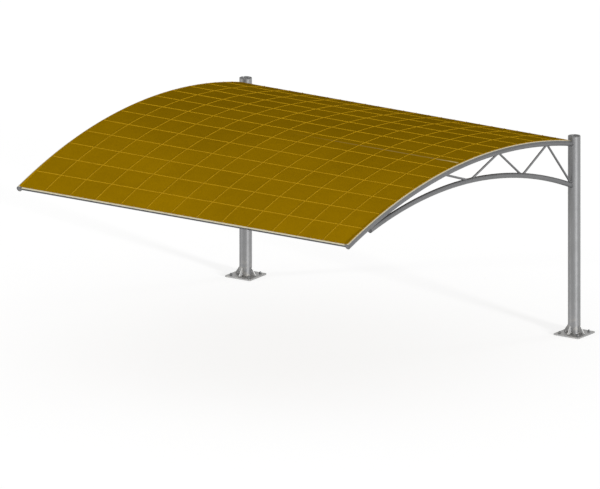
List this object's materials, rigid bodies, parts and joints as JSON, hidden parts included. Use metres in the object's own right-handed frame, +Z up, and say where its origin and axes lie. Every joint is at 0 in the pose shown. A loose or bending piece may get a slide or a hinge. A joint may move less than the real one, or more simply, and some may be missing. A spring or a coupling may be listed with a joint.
{
  "type": "cantilever car park shade structure",
  "caption": "Cantilevered car park shade: round posts on bolted base plates carry arched pipe trusses, and a curved ochre membrane spans between them over cross pipes.",
  "frame": {"origin": "centre of the underside of the left post's base plate", "axes": "+Z up, +X from the left post to the right post, and the canopy reaches from the posts towards -Y"},
  "size_m": [5.65, 5.6125, 2.9741],
  "materials": {
    "steel": "silver-grey satin paint",
    "plug": "dark grey, matt",
    "membrane": "ochre coated membrane with paler welded seams"
  },
  "bodies": {
    "root": {"left_post": "steel", "left_post_cap": "plug", "left_base_plate": "steel", "left_inner_gusset": "steel", "left_rear_gusset": "steel", "left_outer_gusset": "steel", "left_front_gusset": "steel", "left_upper_chord": "steel", "left_tip_plug": "plug", "left_lower_chord": "steel", "left_lower_plug": "plug", "left_web_1": "steel", "left_web_2": "steel", "left_web_3": "steel", "left_web_4": "steel", "left_web_5": "steel", "right_post": "steel", "right_post_cap": "plug", "right_base_plate": "steel", "right_inner_gusset": "steel", "right_rear_gusset": "steel", "right_outer_gusset": "steel", "right_front_gusset": "steel", "right_upper_chord": "steel", "right_tip_plug": "plug", "right_lower_chord": "steel", "right_lower_plug": "plug", "right_web_1": "steel", "right_web_2": "steel", "right_web_3": "steel", "right_web_4": "steel", "right_web_5": "steel", "front_edge_pipe": "steel", "mid_purlin": "steel", "rear_edge_pipe": "steel", "canopy_membrane": "membrane"}
  },
  "joints": []
}
